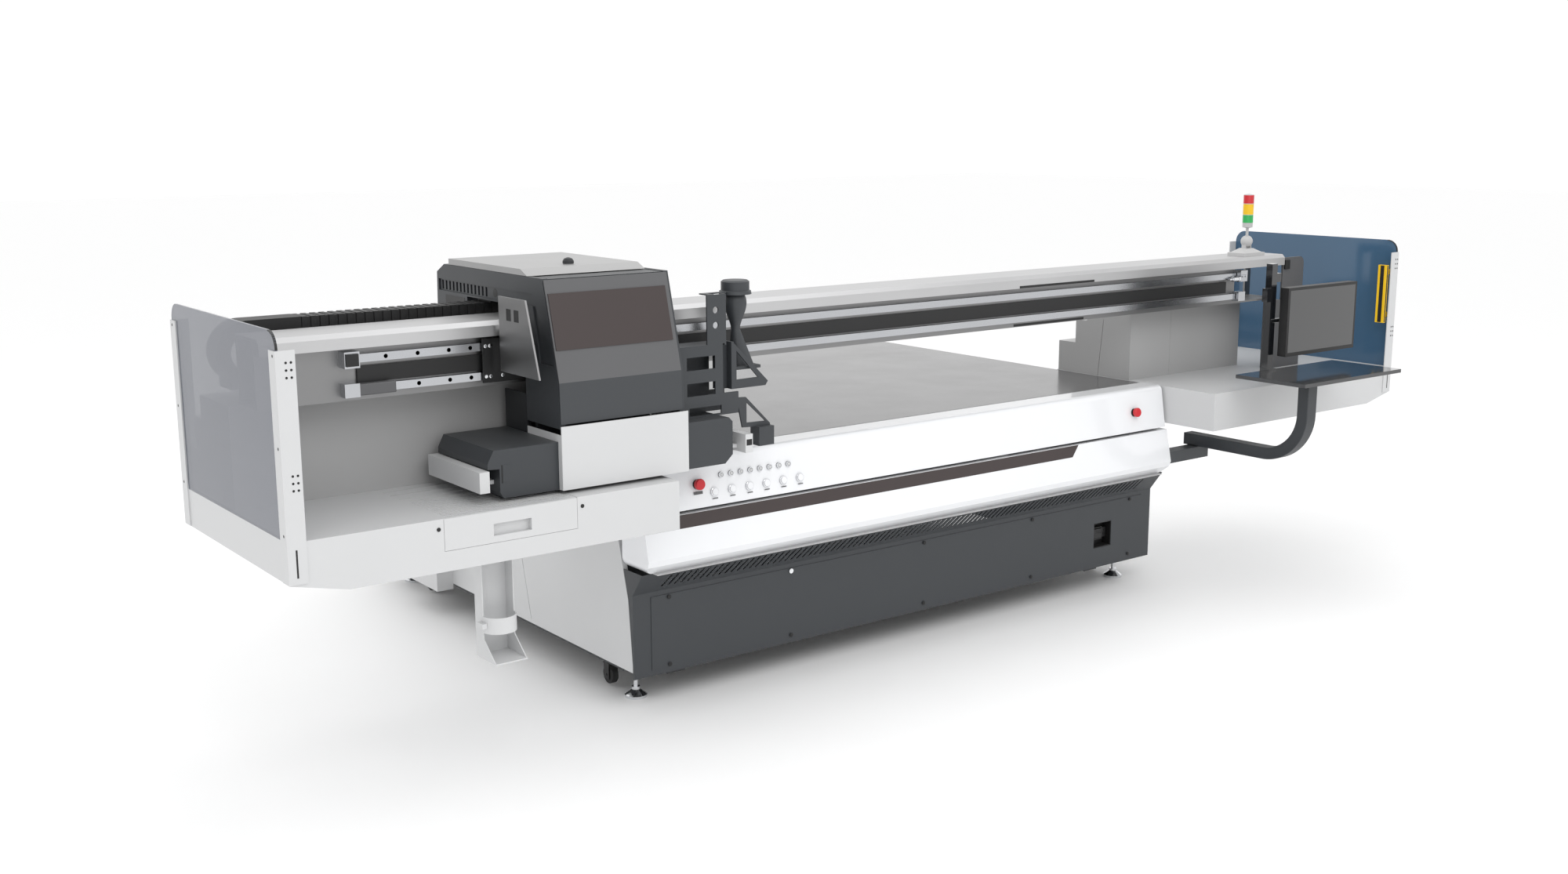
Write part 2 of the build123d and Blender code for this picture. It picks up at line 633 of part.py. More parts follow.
with BuildPart() as drip_grille:
    block(drawer_x, (wing_front + sheet, drawer_back), (bed_height - 7, bed_height - 0.5))
    ribs = int((drawer_back - wing_front - 30) / rib_pitch)
    for i in range(ribs):
        y = wing_front + 18 + i * rib_pitch
        block((drawer_x[0] + 12, drawer_x[1] - 12), (y, y + 5), (bed_height - 8, bed_height), mode=Mode.SUBTRACT)
save(drip_grille, "drip_grille")

holder_x = (-half - 645, -half - 540)
holder_mid = sum(holder_x) / 2
shelf_z = wing_bottom - 323
holder_back = front - 150
holder_lead = 50.0
with BuildPart() as bottle_holder:
    block(holder_x, (holder_back - 3, holder_back), (shelf_z, wing_bottom))
    for x in (holder_x[0], holder_x[1] - 3):
        block((x, x + 3), (holder_back - holder_lead, holder_back), (shelf_z, wing_bottom))
        along_x(side_face([(-200, shelf_z), (-275, shelf_z), (-200, shelf_z + 62)]), (x, x + 3))
    block(holder_x, (front - 275, holder_back), (shelf_z, shelf_z + 4))
    with BuildSketch(Plane.XY.offset(shelf_z + 83)) as band:
        with Locations((holder_mid, holder_back - holder_lead)):
            Circle(holder_x[1] - holder_mid)
            Circle(holder_x[1] - holder_mid - 3, mode=Mode.SUBTRACT)
        with Locations((holder_mid, holder_back - holder_lead + 100)):
            Rectangle(300, 200, mode=Mode.SUBTRACT)
    extrude(amount=50)
    latch_y = holder_back - holder_lead - 20
    block((holder_x[0] - 12, holder_x[0] + 3), (latch_y, latch_y + 34), (shelf_z + 100, shelf_z + 116))
save(bottle_holder, "bottle_holder")

# ---------------------------------------------------------------- gantry: cable chain and trough
chain_y = (front + 235, front + 325)
chain_tall = 42.0
chain_top = 1386.0
bend_radius = 95.0
loop_x = -half - 1140
chain_end = -half - 300
chain_stub = 160.0
chain_gap = 1.0
chain_bottom = chain_top - 2 * bend_radius
fixed_end = 0.0
carriage_stroke = 2950.0
with BuildPart() as chain_loop:
    with BuildSketch(Plane.XZ.offset(-chain_y[1])):
        with Locations((loop_x, chain_top - bend_radius)):
            Circle(bend_radius)
            Circle(bend_radius - chain_tall, mode=Mode.SUBTRACT)
        with Locations((loop_x + bend_radius, chain_top - bend_radius)):
            Rectangle(2 * bend_radius, 2 * bend_radius, mode=Mode.SUBTRACT)
        with Locations((loop_x + chain_stub / 2, chain_top - chain_tall / 2)):
            Rectangle(chain_stub, chain_tall)
    extrude(amount=chain_y[1] - chain_y[0])
save(chain_loop, "chain_loop")

trough_x = (loop_x - 60, fixed_end + 60)
with BuildPart() as chain_trough:
    block(trough_x, (chain_y[0] - 8, chain_y[1] + 8), (chain_bottom - 8, chain_bottom + 30))
    block((trough_x[0] - 1, trough_x[1] + 1), (chain_y[0] - 5, chain_y[1] + 5),
          (chain_bottom - 5, chain_bottom + 31), mode=Mode.SUBTRACT)
    count = 6
    step = (trough_x[1] - trough_x[0] - 100) / (count - 1)
    for i in range(count):
        x = trough_x[0] + 30 + i * step
        block((x, x + 40), (front + beam_back, chain_y[0] - 8), (chain_bottom - 8, chain_bottom - 2))
    # The fixed end of the chain's lower run lies in the trough and never rolls up.
    block((loop_x + carriage_stroke / 2 + chain_gap + 4, fixed_end), chain_y,
          (chain_bottom - 5, chain_bottom + chain_tall))
save(chain_trough, "chain_trough")

# ---------------------------------------------------------------- gantry: signal tower
tower_x = half + 647
tower_y = front + 55
ball_z = 1422.0
ball_radius = 26.0
with BuildPart() as signal_tower:
    block((tower_x - 72, tower_x + 72), (tower_y - 45, tower_y + 45), (beam_top, beam_top + 14))
    with BuildSketch(Plane.XY.offset(beam_top + 14)):
        with Locations((tower_x, tower_y)):
            Rectangle(120, 80)
    with BuildSketch(Plane.XY.offset(ball_z - ball_radius - 4)):
        with Locations((tower_x, tower_y)):
            Rectangle(42, 42)
    loft()
    for sx in (-1, 1):
        block(sorted((tower_x + sx * 21, tower_x + sx * 15)), (tower_y - 10, tower_y + 10),
              (ball_z - ball_radius - 4, ball_z - 14))
    with BuildSketch(Plane.XZ.offset(-tower_y)):
        with BuildLine():
            Polyline((tower_x, ball_z + 20), (tower_x + 6, ball_z + 20), (tower_x + 6, 1480),
                     (tower_x + 22, 1484), (tower_x + 22, 1626), (tower_x, 1630), close=True)
        make_face()
    revolve(axis=Axis((tower_x, tower_y, 0), (0, 0, 1)))
    with Locations((tower_x, tower_y, ball_z)):
        Sphere(ball_radius)
save(signal_tower, "signal_tower")

# ---------------------------------------------------------------- carriage: frame on the rails
mid_x = -half + carriage_centre
left_x = mid_x - carriage_width / 2
right_x = mid_x + carriage_width / 2
body_front = 245.0
body_foot = 862.0           # lowest edge of the carriage, over the bed
neck_z = 1185.0
crown_z = 1490.0
deck_z = 1462.0
reach_back = 571.0
under_z = 1396.0            # underside of the part that reaches back over beam and chain
beam_play = 6.0
frame_outline = [
    (9 - body_front, 1046), (13 - body_front, neck_z), (-152, crown_z), (510, crown_z), (566, deck_z),
    (reach_back, 1354), (350, 1354), (350, under_z), (-beam_lead - beam_play - 4, under_z),
    (-beam_lead - beam_play - 4, 1046),
]
panel_recess = [(-208, 1232), (-84, 1440), (555, 1440), (555, 1402), (-90, 1402), (-124, 1232)]
inner_x = (left_x + side_plate, right_x - side_plate)
plate_y = (-beam_lead - beam_play - 14, -beam_lead - beam_play)
guide_x = [left_x + 40, right_x - 120]
lift_face = -50.0
with BuildPart() as carriage_frame:
    for x0, sx in ((left_x, 1), (right_x, -1)):
        span = sorted((x0, x0 + sx * side_plate))
        along_x(side_face(frame_outline), span)
        along_x(side_face(panel_recess), sorted((x0 - sx, x0 + sx * 5)), mode=Mode.SUBTRACT)
        for i in range(13):
            y = front + 215 + i * 26
            block(sorted((x0 - sx, x0 + sx * (side_plate + 1))), (y, y + 12), (1406, 1436),
                  mode=Mode.SUBTRACT)
    block(inner_x, (front + plate_y[0], front + plate_y[1]), (1046, under_z + 14))
    block(inner_x, (front + plate_y[0], front + reach_back - 12), (under_z, under_z + 14))
    for x in guide_x:
        block((x, x + 30), (front + lift_face + 0.5, front + plate_y[0]), (1046, 1200))
    block(inner_x, (front + reach_back - 12, front + reach_back), (1356, 1450))
    block(inner_x, (front - 150, front + 508), (crown_z - 8, crown_z - 2))
    block((left_x + 45, right_x - 65), (front - 10, front + 430), (crown_z - 9, crown_z + 1),
          mode=Mode.SUBTRACT)
save(carriage_frame, "carriage_frame")

guide_play = 0.3
with BuildPart() as guide_blocks:
    for z in (upper_rail_z, lower_rail_z):
        for x in guide_x:
            block((x, x + 80), (front + plate_y[1], front + web - strip_depth - 3), (z - 20, z + 20))
            block((x - 1, x + 81), (front + web - rail_depth - guide_play, front + web),
                  (z - rail_tall / 2 - guide_play, z + rail_tall / 2 + guide_play), mode=Mode.SUBTRACT)
save(guide_blocks, "guide_blocks")

with BuildPart() as chain_upper:
    block((loop_x + chain_stub + chain_gap, chain_end), chain_y, (chain_top - chain_tall, chain_top))
    block((chain_end - 60, chain_end), chain_y, (chain_top, under_z))
save(chain_upper, "chain_upper")

# ---------------------------------------------------------------- carriage: covers and lid
hood_x = (left_x + 1, right_x - 10)
hood_skin = 3.0
hood_foot = 1060.0
with BuildPart() as front_hood:
    along_x(side_face([(-240, hood_foot), (-237, neck_z), (-160, crown_z - 4), (-156, crown_z - 4),
                       (hood_skin - 237, neck_z), (hood_skin - 240, hood_foot)]), hood_x)
save(front_hood, "front_hood")

panel_low = 1280.0
panel_high = 1446.0


def hood_y(z):
    """How far behind the front panel the sloping hood's face is at a height."""
    return -237 + (z - neck_z) * (237 - 160) / (crown_z - 4 - neck_z)


with BuildPart() as badge_panel:
    along_x(side_face([(hood_y(panel_low), panel_low), (hood_y(panel_high), panel_high),
                       (hood_y(panel_high) - 3, panel_high), (hood_y(panel_low) - 3, panel_low)]),
            (hood_x[0] + 6, hood_x[1] - 14))
save(badge_panel, "badge_panel")

lid_x = (left_x, right_x - 25)
lid_rear = 475.0
knob_x = left_x + 200
knob_y = front + 40
with BuildPart() as lid:
    along_x(side_face([(-60, crown_z + 1), (-17, crown_z + 20), (lid_rear, crown_z + 20),
                       (lid_rear, crown_z + 1)]), lid_x)
    along_x(side_face([(-50, crown_z), (-15, crown_z + 17), (lid_rear - 3, crown_z + 17),
                       (lid_rear - 3, crown_z)]), (lid_x[0] + 3, lid_x[1] - 3), mode=Mode.SUBTRACT)
    upright_cylinder(knob_x, knob_y, (crown_z + 17, crown_z + 24), 13)
    with Locations((knob_x, knob_y, crown_z + 24)):
        Sphere(17)
    block((knob_x - 20, knob_x + 20), (knob_y - 20, knob_y + 20), (crown_z - 2, crown_z + 17),
          mode=Mode.SUBTRACT)
save(lid, "lid")

plate_outline = [(-206, 1436), (-40, 1436), (-40, 1208), (-279, 1208)]
plate_x = left_x - 89
with BuildPart() as side_bracket:
    along_x(side_face(plate_outline), (plate_x, plate_x + 6))
    block((plate_x + 6, left_x), (front - 60, front - 45), (1290, 1330))
    for y in (-166, -118):
        block((plate_x - 1, plate_x + 7), (front + y, front + y + 30), (1366, 1402), mode=Mode.SUBTRACT)
save(side_bracket, "side_bracket")

# ---------------------------------------------------------------- carriage: lifting print head
shell_top = 1056.0
shell_front = body_front + 7
wrap = 5.0
with BuildPart() as head_shell:
    block((left_x - wrap, right_x + wrap), (front - shell_front, front - shell_front + 4),
          (body_foot, shell_top))
    fillet(head_shell.edges().filter_by(Axis.Z).group_by(Axis.Y)[0], 2)
    for x in (left_x - wrap, right_x + wrap - 3):
        block((x, x + 3), (front - shell_front + 3, front - 40), (body_foot, shell_top - 26))
save(head_shell, "head_shell")

cheek = 6.0                 # side plates that close the head under the beam
cheek_y = (front - 28, front + 110)
head_stroke = 25.0
with BuildPart() as head_plate:
    block((left_x - wrap + 3, right_x + wrap - 3), (front - 226, cheek_y[1]),
          (body_foot + 6, body_foot + 14))
    for x in (left_x, right_x - cheek):
        block((x, x + cheek), cheek_y, (body_foot + 14, beam_bottom - head_stroke - 4))
    block((inner_x[0] + 1, inner_x[1] - 1), (front + lift_face - 12, front + lift_face),
          (body_foot + 14, 1150))
    for i in range(8):
        x = left_x + 40 + i * 48
        block((x, x + 30), (front - 200, front - 90), (body_foot + 1, body_foot + 6))
        block((x + 3, x + 27), (front - 190, front - 100), (body_foot + 14, 985))
save(head_plate, "head_plate")

lamp_y = (front - 230, front + 100)
lamp_outline = [(0, 970), (20, 1008), (235, 1008), (235, 862), (50, 862), (38, 880), (38, 951), (0, 953)]
bumper_y = (front - 240, front + 105)
arm_rows = (-190, 45)
arm_play = 0.5
with BuildPart() as left_uv_lamp:
    along_y(front_face([(left_x - 240 + x, z) for x, z in lamp_outline]), lamp_y)
    block((left_x - 190, left_x - 10), (lamp_y[0] + 20, lamp_y[1] - 20), (861, 868), mode=Mode.SUBTRACT)
    for y in arm_rows:
        block((left_x - 241, left_x - 140), (front + y - arm_play, front + y + 20 + arm_play),
              (900 - arm_play, 912 + arm_play), mode=Mode.SUBTRACT)
save(left_uv_lamp, "left_uv_lamp")

lamp_end = right_x + 190
with BuildPart() as right_uv_lamp:
    along_y(front_face([(right_x + wrap, 862), (lamp_end - 30, 862), (lamp_end, 890), (lamp_end, 998),
                        (lamp_end - 14, 1012), (right_x + wrap, 1012)]), lamp_y)
    block((right_x + 20, right_x + 148), (lamp_y[0] + 20, lamp_y[1] - 20), (861, 868), mode=Mode.SUBTRACT)
    for y in arm_rows:
        block((lamp_end - 62, lamp_end + 1), (front + y - arm_play, front + y + 20 + arm_play),
              (900 - arm_play, 912 + arm_play), mode=Mode.SUBTRACT)
save(right_uv_lamp, "right_uv_lamp")

with BuildPart() as left_bumper:
    block((left_x - 272, left_x - 240), bumper_y, (887, 950))
    for y in arm_rows:
        block((left_x - 240, left_x - 162), (front + y, front + y + 20), (900, 912))
save(left_bumper, "left_bumper")

with BuildPart() as right_bumper:
    block((lamp_end + 44, lamp_end + 73), bumper_y, (889, 950))
    for y in arm_rows:
        block((lamp_end - 40, lamp_end + 44), (front + y, front + y + 20), (900, 912))
save(right_bumper, "right_bumper")

# Open bracket over the right lamp: two ladder frames, a perforated plate and two gussets.
riser_x = (right_x + wrap + 2, right_x + 192)
riser_rows = [(front - 176, front - 170), (front - 96, front - 90)]
gusset_x = right_x + 232
windows = [((right_x + 52, right_x + 162), (1167, 1209)), ((right_x + 52, right_x + 162), (1083, 1125)),
           ((right_x + 60, right_x + 185), (1018, 1045))]
upper_gusset = [(gusset_x, 1092), (gusset_x, 1247), (right_x + 373, 1106), (right_x + 363, 1092)]
upper_window = [(right_x + 246, 1121), (right_x + 246, 1217), (right_x + 333, 1122)]
lower_gusset = [(right_x + 250, 1045), (right_x + 250, 1062), (right_x + 283, 1060), (right_x + 381, 963),
                (right_x + 383, 894), (right_x + 322, 894), (right_x + 322, 957), (right_x + 268, 960)]
lower_window = [(right_x + 285, 974), (right_x + 285, 1043), (right_x + 362, 972)]
with BuildPart() as riser_bracket:
    for row in riser_rows:
        block(riser_x, row, (1045, 1245))
        block((riser_x[0], right_x + 253), row, (1012, 1083))
    for x, z in windows:
        block(x, (riser_rows[0][0] - 1, riser_rows[0][1] + 1), z, mode=Mode.SUBTRACT)
    block(riser_x, (riser_rows[0][0], riser_rows[1][1]), (1239, 1245))
    block((right_x + 132, right_x + 206), riser_rows[0], (1245, 1405))
    block((right_x + 200, right_x + 206), (riser_rows[0][0], front - 150), (1240, 1405))
    for z in (1306, 1355):
        with Locations(Location((right_x + 166, riser_rows[0][0] + 3, z), (90, 0, 0))):
            Cylinder(11, 20, mode=Mode.SUBTRACT)
    block((right_x + 140, right_x + 160), (riser_rows[0][0], front - 120), (1402, 1406))
    block((right_x + 140, right_x + 236), (front - 136, front - 120), (1402, 1406))
    block((right_x + 190, gusset_x), (front - 150, front - 120), (1092, 1247))
    block((gusset_x - 6, gusset_x + 4), (riser_rows[0][0], front - 120), (1092, 1247))
    along_y(front_face(upper_gusset), riser_rows[0])
    along_y(front_face(upper_window), (riser_rows[0][0] - 1, riser_rows[0][1] + 1), mode=Mode.SUBTRACT)
    along_y(front_face(lower_gusset), riser_rows[0])
    along_y(front_face(lower_window), (riser_rows[0][0] - 1, riser_rows[0][1] + 1), mode=Mode.SUBTRACT)
    block((right_x + 322, right_x + 383), (front - 196, front - 146), (894, 957))
    block((gusset_x - 4, right_x + 355), (front - 160, front - 66), (1150, 1160))
save(riser_bracket, "riser_bracket")

bulb_x = right_x + 290
bulb_y = front - 110
neck_z_low = 1278.0
with BuildPart() as ion_nozzle:
    with BuildSketch(Plane.XZ.offset(-bulb_y)):
        with BuildLine():
            Polyline((bulb_x, neck_z_low), (bulb_x + 15, neck_z_low), (bulb_x + 16, 1290))
            Spline((bulb_x + 16, 1290), (bulb_x + 30, 1330), (bulb_x + 37, 1358), (bulb_x + 30, 1394))
            Polyline((bulb_x + 30, 1394), (bulb_x + 54, 1394), (bulb_x + 52, 1405), (bulb_x + 47, 1407),
                     (bulb_x + 47, 1435), (bulb_x + 40, 1440), (bulb_x, 1440), (bulb_x, neck_z_low))
        make_face()
    revolve(axis=Axis((bulb_x, bulb_y, 0), (0, 0, 1)))
    with BuildSketch(Plane.XY.offset(1160)):
        with Locations((bulb_x + 22, bulb_y)):
            Ellipse(44, 34)
    with BuildSketch(Plane.XY.offset(neck_z_low)):
        with Locations((bulb_x, bulb_y)):
            Circle(15)
    loft()
save(ion_nozzle, "ion_nozzle")
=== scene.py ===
import math

import bpy
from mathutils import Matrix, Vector


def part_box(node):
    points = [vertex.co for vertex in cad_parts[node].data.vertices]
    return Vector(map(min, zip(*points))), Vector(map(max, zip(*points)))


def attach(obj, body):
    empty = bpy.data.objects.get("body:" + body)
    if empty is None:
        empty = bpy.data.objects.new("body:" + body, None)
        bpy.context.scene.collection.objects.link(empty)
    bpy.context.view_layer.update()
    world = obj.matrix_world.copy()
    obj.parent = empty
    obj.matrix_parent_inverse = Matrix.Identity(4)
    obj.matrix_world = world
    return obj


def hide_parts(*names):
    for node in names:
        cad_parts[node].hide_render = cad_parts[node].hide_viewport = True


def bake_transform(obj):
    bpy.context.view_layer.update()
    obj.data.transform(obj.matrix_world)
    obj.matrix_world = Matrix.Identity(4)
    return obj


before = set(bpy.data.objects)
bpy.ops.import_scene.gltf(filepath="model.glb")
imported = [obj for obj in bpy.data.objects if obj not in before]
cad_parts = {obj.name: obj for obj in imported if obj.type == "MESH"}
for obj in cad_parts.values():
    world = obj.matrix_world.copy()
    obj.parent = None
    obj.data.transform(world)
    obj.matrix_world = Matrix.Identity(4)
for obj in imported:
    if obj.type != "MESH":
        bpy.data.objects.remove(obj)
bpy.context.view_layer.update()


# Cabinet. A welded tube frame closed with powder-coated sheet: slate in front, where it kicks
# out at the top in a louvred slope, and pale at the sides and rear. A removable panel is held
# over the electrics by slotted screws, and two skid bars lie under the frame.
def surface_group():
    """What all the finishes share: blotches of tone, fine grain, dust on level faces and bumps."""
    group = bpy.data.node_groups.new("coat_and_dust", "ShaderNodeTree")
    face = group.interface
    face.new_socket("Colour", in_out="INPUT", socket_type="NodeSocketColor")
    for name, value in (("Roughness", 0.4), ("Variation", 0.06), ("Grain Size", 900.0),
                        ("Grain Depth", 0.1), ("Dust", 0.1)):
        socket = face.new_socket(name, in_out="INPUT", socket_type="NodeSocketFloat")
        socket.default_value = value
    face.new_socket("Colour", in_out="OUTPUT", socket_type="NodeSocketColor")
    face.new_socket("Roughness", in_out="OUTPUT", socket_type="NodeSocketFloat")
    face.new_socket("Normal", in_out="OUTPUT", socket_type="NodeSocketVector")
    new, link = group.nodes.new, group.links.new
    given, out = new("NodeGroupInput"), new("NodeGroupOutput")
    place = new("ShaderNodeTexCoord")

    def maths(operation, *values):
        """A math node. Each value is either a plain number or another node's output."""
        node = new("ShaderNodeMath")
        node.operation = operation
        for socket, value in zip(node.inputs, values):
            if isinstance(value, float):
                socket.default_value = value
            else:
                link(value, socket)
        return node.outputs[0]

    blotch = new("ShaderNodeTexNoise")
    blotch.inputs["Scale"].default_value = 3.5
    blotch.inputs["Detail"].default_value = 6
    link(place.outputs["Object"], blotch.inputs["Vector"])
    grain = new("ShaderNodeTexNoise")
    grain.inputs["Detail"].default_value = 2
    link(place.outputs["Object"], grain.inputs["Vector"])
    link(given.outputs["Grain Size"], grain.inputs["Scale"])

    centred = maths("SUBTRACT", blotch.outputs["Fac"], 0.5)
    swing = maths("MULTIPLY_ADD", centred, given.outputs["Variation"], 1.0)
    toned = new("ShaderNodeVectorMath")
    toned.operation = "SCALE"
    link(given.outputs["Colour"], toned.inputs[0])
    link(swing, toned.inputs["Scale"])

    shape = new("ShaderNodeNewGeometry")
    up = new("ShaderNodeSeparateXYZ")
    link(shape.outputs["Normal"], up.inputs[0])
    settled = new("ShaderNodeMapRange")
    settled.inputs["From Min"].default_value = 0.7
    settled.inputs["From Max"].default_value = 1.0
    link(up.outputs["Z"], settled.inputs["Value"])
    patchy = maths("MULTIPLY", settled.outputs[0], blotch.outputs["Fac"])
    dust = maths("MULTIPLY", patchy, given.outputs["Dust"])
    dusty = new("ShaderNodeMix")
    dusty.data_type = "RGBA"
    dusty.inputs["B"].default_value = (0.45, 0.44, 0.42, 1)
    link(dust, dusty.inputs["Factor"])
    link(toned.outputs[0], dusty.inputs["A"])
    link(dusty.outputs["Result"], out.inputs["Colour"])

    rougher = maths("MULTIPLY_ADD", centred, 0.12, given.outputs["Roughness"])
    worn = maths("MULTIPLY_ADD", dust, 0.4, rougher)
    link(worn, out.inputs["Roughness"])

    bump = new("ShaderNodeBump")
    bump.inputs["Distance"].default_value = 0.0004
    link(given.outputs["Grain Depth"], bump.inputs["Strength"])
    link(grain.outputs["Fac"], bump.inputs["Height"])
    link(bump.outputs["Normal"], out.inputs["Normal"])
    return group


coat = surface_group()


def finish(name, colour, roughness=0.4, metal=0.0, grain=0.1, variation=0.06, dust=0.1,
           gloss_coat=0.0):
    """A procedural finish: an even base colour run through the shared coat group."""
    material = bpy.data.materials.new(name)
    material.use_nodes = True
    nodes, link = material.node_tree.nodes, material.node_tree.links.new
    shader = nodes["Principled BSDF"]
    skin = nodes.new("ShaderNodeGroup")
    skin.node_tree = coat
    skin.inputs["Colour"].default_value = (*colour, 1)
    skin.inputs["Roughness"].default_value = roughness
    skin.inputs["Variation"].default_value = variation
    skin.inputs["Grain Depth"].default_value = grain
    skin.inputs["Dust"].default_value = dust
    link(skin.outputs["Colour"], shader.inputs["Base Color"])
    link(skin.outputs["Roughness"], shader.inputs["Roughness"])
    link(skin.outputs["Normal"], shader.inputs["Normal"])
    shader.inputs["Metallic"].default_value = metal
    shader.inputs["Coat Weight"].default_value = gloss_coat
    shader.inputs["Coat Roughness"].default_value = 0.08
    material.diffuse_color = (*colour, 1)
    return material


slate = finish("slate_powder_coat", (0.036, 0.04, 0.045), 0.45, grain=0.25)
slate_dark = finish("slate_shadow_coat", (0.018, 0.02, 0.023), 0.5, grain=0.2)
pale = finish("pale_powder_coat", (0.6, 0.605, 0.61), 0.38, grain=0.18)
white = finish("white_gloss_enamel", (0.83, 0.84, 0.86), 0.16, grain=0.03, gloss_coat=0.6)
black = finish("black_moulding", (0.006, 0.006, 0.0065), 0.45, dust=0.06)


def low(node):
    return Vector(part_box(node)[0])


def high(node):
    return Vector(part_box(node)[1])


def soften(piece, edge):
    """Round the sharp edges slightly, as those of every bent, cut or moulded part are."""
    if not edge:
        return
    rounding = piece.modifiers.new("edge", "BEVEL")
    rounding.width = edge
    rounding.segments = 2
    rounding.limit_method = "ANGLE"
    rounding.angle_limit = math.radians(40)


def dress(material, *names, edge=0.0012):
    """Give CAD pieces their finish and their small rounded edge."""
    for name in names:
        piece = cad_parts[name]
        piece.data.materials.clear()
        piece.data.materials.append(material)
        soften(piece, edge)


def mesh_piece(name, verts, faces, material, body, edge=0.0):
    """A new piece from its vertices and faces. It rides on the body, if one is named."""
    mesh = bpy.data.meshes.new(name)
    mesh.from_pydata([tuple(v) for v in verts], [], faces)
    mesh.update()
    piece = bpy.data.objects.new(name, mesh)
    bpy.context.scene.collection.objects.link(piece)
    mesh.materials.append(material)
    soften(piece, edge)
    if body:
        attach(piece, body)
    return piece


def slabs(name, boxes, material, body, edge=0.0):
    """One piece made of separate blocks, each given as its low and high corner."""
    block = ((3, 2, 1, 0), (4, 5, 6, 7), (0, 1, 5, 4), (1, 2, 6, 5), (2, 3, 7, 6), (3, 0, 4, 7))
    verts, faces = [], []
    for a, b in boxes:
        first = len(verts)
        outline = ((a[0], a[1]), (b[0], a[1]), (b[0], b[1]), (a[0], b[1]))
        verts += [(x, y, z) for z in (a[2], b[2]) for x, y in outline]
        faces += [[first + i for i in face] for face in block]
    return mesh_piece(name, verts, faces, material, body, edge)


def turned(name, spots, direction, profile, material, body, sides=28):
    """Round pieces turned to one profile of (distance out, radius), standing at each spot."""
    least = 0.00001  # a profile's point on the axis still needs a ring of its own
    axis = Vector(direction).normalized()
    across = axis.orthogonal().normalized()
    other = axis.cross(across)
    verts, faces = [], []
    for spot in spots:
        first = len(verts)
        for out, radius in profile:
            for i in range(sides):
                turn = 2 * math.pi * i / sides
                spoke = across * math.cos(turn) + other * math.sin(turn)
                verts.append(Vector(spot) + axis * out + spoke * max(radius, least))
        for ring in range(len(profile) - 1):
            for i in range(sides):
                j = (i + 1) % sides
                a, b = first + ring * sides, first + (ring + 1) * sides
                faces.append([a + i, a + j, b + j, b + i])
        faces.append([first + i for i in reversed(range(sides))])
        faces.append([first + (len(profile) - 1) * sides + i for i in range(sides)])
    return mesh_piece(name, verts, faces, material, body)


dress(slate, "base_frame", "front_panel", "access_panel")
dress(pale, "body_panels", edge=0.0015)
dress(black, "power_inlet", "power_rocker", edge=0.0006)

forward = (0, -1, 0)
panel_low, panel_high = low("access_panel"), high("access_panel")
first_screw = panel_low.x + 0.071
screw_steps = (0.0, 0.519, 1.157, 1.741, 2.325)
screw_rows = (panel_low.z + 0.009, panel_high.z - 0.010)
screws = [(first_screw + step, panel_low.y, z) for step in screw_steps for z in screw_rows]
bright_screw = screws.pop(3)
turned("panel_screw_heads", screws, forward,
       [(0.0, 0.0075), (0.0012, 0.0075), (0.0022, 0.005)], black, "bed", sides=18)
turned("panel_screw_bright", [bright_screw], forward,
       [(0.0, 0.009), (0.0012, 0.009), (0.0024, 0.006)], white, "bed", sides=18)

plinth = low("base_frame")
skid_width, skid_height = 0.074, 0.016
skid_front, skid_back = panel_low.y + 0.03, panel_low.y + 0.34
slabs("skid_bars", [((x, skid_front, plinth.z - skid_height),
                     (x + skid_width, skid_back, plinth.z + 0.001))
                    for x in (plinth.x + 0.125, plinth.x + 2.208)], slate_dark, "bed", edge=0.002)

# Feet and casters. Chromed levelling feet carry the machine; the rubber-tyred wheels hang
# just clear of the floor until the feet are wound up.
chrome = finish("chrome_plate", (0.72, 0.73, 0.75), 0.08, metal=1.0, grain=0.0)
rubber = finish("black_rubber", (0.016, 0.016, 0.016), 0.75, dust=0.3)
dress(chrome, "levelling_feet", edge=0.0008)
dress(black, "caster_forks", edge=0.0006)
dress(rubber, "wheel_front_left", "wheel_front_right", "wheel_rear_left", "wheel_rear_right")

# Front covers. Two long glossy enamelled covers, split by a narrow joint, with a printed
# brown film along the lower one that is cut off at a slant near the right end, and a grey
# strip under its lip.
brown = finish("printed_film_brown", (0.042, 0.03, 0.029), 0.38, grain=0.04)
lip_grey = finish("underside_grey", (0.5, 0.5, 0.5), 0.4)
dress(white, "control_cover", "lower_cover", edge=0.002)
proud = 0.0004  # how far a printed mark stands off the face that carries it
lower, upper = low("lower_cover"), high("lower_cover")
face_top = upper.y - 0.134
face_drop = 0.134
slope = (face_top - lower.y) / face_drop


def on_lower_cover(x, z):
    return (x, face_top - (upper.z - z) * slope - proud, z)


stripe_start = lower.x + 0.002
stripe_foot, stripe_head = upper.z - 0.045, upper.z - 0.001
stripe_end_foot, stripe_end_head = lower.x + 2.017, lower.x + 2.060
mesh_piece("brown_stripe", [on_lower_cover(stripe_start, stripe_foot),
                            on_lower_cover(stripe_end_foot, stripe_foot),
                            on_lower_cover(stripe_end_head, stripe_head),
                            on_lower_cover(stripe_start, stripe_head)],
           [(0, 1, 2, 3)], brown, "bed")
slabs("underside_lip", [((lower.x + 0.04, lower.y + 0.010, lower.z - 0.0015),
                         (upper.x - 0.04, lower.y + 0.04, lower.z))], lip_grey, "bed")

